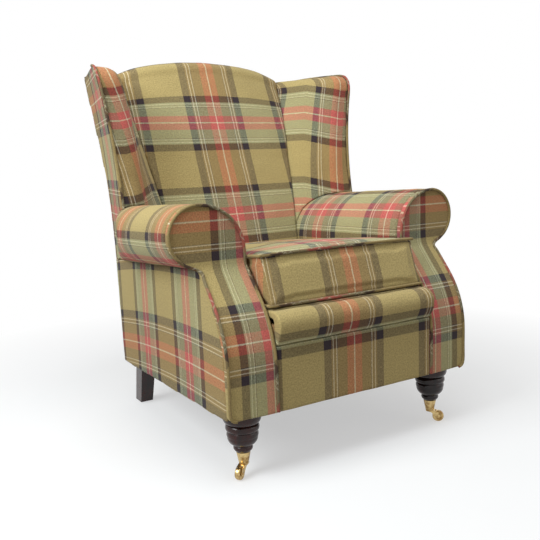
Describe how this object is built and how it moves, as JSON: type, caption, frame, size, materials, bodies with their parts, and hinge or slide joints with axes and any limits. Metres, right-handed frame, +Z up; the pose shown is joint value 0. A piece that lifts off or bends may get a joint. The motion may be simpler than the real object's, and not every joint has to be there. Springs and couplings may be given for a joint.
{
  "type": "fireside chair",
  "caption": "Wing-backed fireside chair in tartan wool, with scrolled arms, a loose box cushion, turned front legs on brass cup castors and raked rear legs.",
  "frame": {"origin": "on the floor under the middle of the bounding box", "axes": "+Z up, the chair faces -Y, +X to the right as seen from the front"},
  "size_m": [0.8474, 0.9093, 1.0364],
  "materials": {
    "tartan_wool": "brushed woven wool tartan in mustard, olive, charcoal, red and cream",
    "tartan_piping": "sewn piping of the same wool",
    "beech_frame": "sawn, unfinished",
    "dark_turned_wood": "dark mahogany lacquer",
    "castor_brass": "polished",
    "spring_steel": "oiled wire",
    "lining_cloth": "plain platform cloth",
    "webbing": "woven jute",
    "black_cloth": "thin dust cloth",
    "cushion_filling": "foam",
    "glide_plastic": "matte"
  },
  "bodies": {
    "frame": {"arm_left": "tartan_wool", "arm_right": "tartan_wool", "arm_facing_left": "tartan_wool", "arm_facing_right": "tartan_wool", "outside_arm_left": "tartan_wool", "outside_arm_right": "tartan_wool", "wing_left": "tartan_wool", "wing_right": "tartan_wool", "outside_wing_left": "tartan_wool", "outside_wing_right": "tartan_wool", "inside_back": "tartan_wool", "outside_back": "tartan_wool", "front_lip_roll": "tartan_wool", "front_border": "tartan_wool", "facing_piping_left": "tartan_piping", "facing_piping_right": "tartan_piping", "wing_piping_left": "tartan_piping", "wing_piping_right": "tartan_piping", "front_rail": "beech_frame", "back_rail": "beech_frame", "side_rail_left": "beech_frame", "side_rail_right": "beech_frame", "front_post_left": "beech_frame", "front_post_right": "beech_frame", "back_post_left": "beech_frame", "back_post_right": "beech_frame", "crest_rail": "beech_frame", "lower_back_rail": "beech_frame", "arm_rail_left": "beech_frame", "arm_rail_right": "beech_frame", "wing_frame_left": "beech_frame", "wing_frame_right": "beech_frame", "corner_blocks": "beech_frame", "front_leg_left": "dark_turned_wood", "front_leg_right": "dark_turned_wood", "rear_leg_left": "dark_turned_wood", "rear_leg_right": "dark_turned_wood", "castor_cup_left": "castor_brass", "castor_cup_right": "castor_brass", "seat_springs": "spring_steel", "spring_clips": "spring_steel", "leg_bolts": "spring_steel", "seat_platform": "lining_cloth", "back_webbing": "webbing", "dust_cover": "black_cloth", "rear_glides": "glide_plastic"},
    "seat_cushion": {"cushion_cover": "tartan_wool", "cushion_foam": "cushion_filling", "cushion_piping": "tartan_piping"},
    "castor_left": {"castor_horn_left": "castor_brass", "castor_axle_left": "castor_brass"},
    "castor_left_wheel": {"castor_wheel_left": "castor_brass"},
    "castor_right": {"castor_horn_right": "castor_brass", "castor_axle_right": "castor_brass"},
    "castor_right_wheel": {"castor_wheel_right": "castor_brass"}
  },
  "joints": [
    {"name": "seat_cushion_lift", "type": "slide", "parent": "frame", "child": "seat_cushion", "axis": [0, 0, 1], "range_m": [0, 0.32]},
    {"name": "castor_left_swivel", "type": "hinge", "parent": "frame", "child": "castor_left", "pos_m": [-0.29, -0.372, 0.033], "axis": [0, 0, 1], "continuous": true},
    {"name": "castor_right_swivel", "type": "hinge", "parent": "frame", "child": "castor_right", "pos_m": [0.29, -0.372, 0.033], "axis": [0, 0, 1], "continuous": true},
    {"name": "castor_left_roll", "type": "hinge", "parent": "castor_left", "child": "castor_left_wheel", "pos_m": [-0.3083, -0.38421, 0.015], "axis": [0.5548, -0.832, 0], "continuous": true},
    {"name": "castor_right_roll", "type": "hinge", "parent": "castor_right", "child": "castor_right_wheel", "pos_m": [0.30601, -0.38709, 0.015], "axis": [0.6858, 0.7278, 0], "continuous": true}
  ]
}
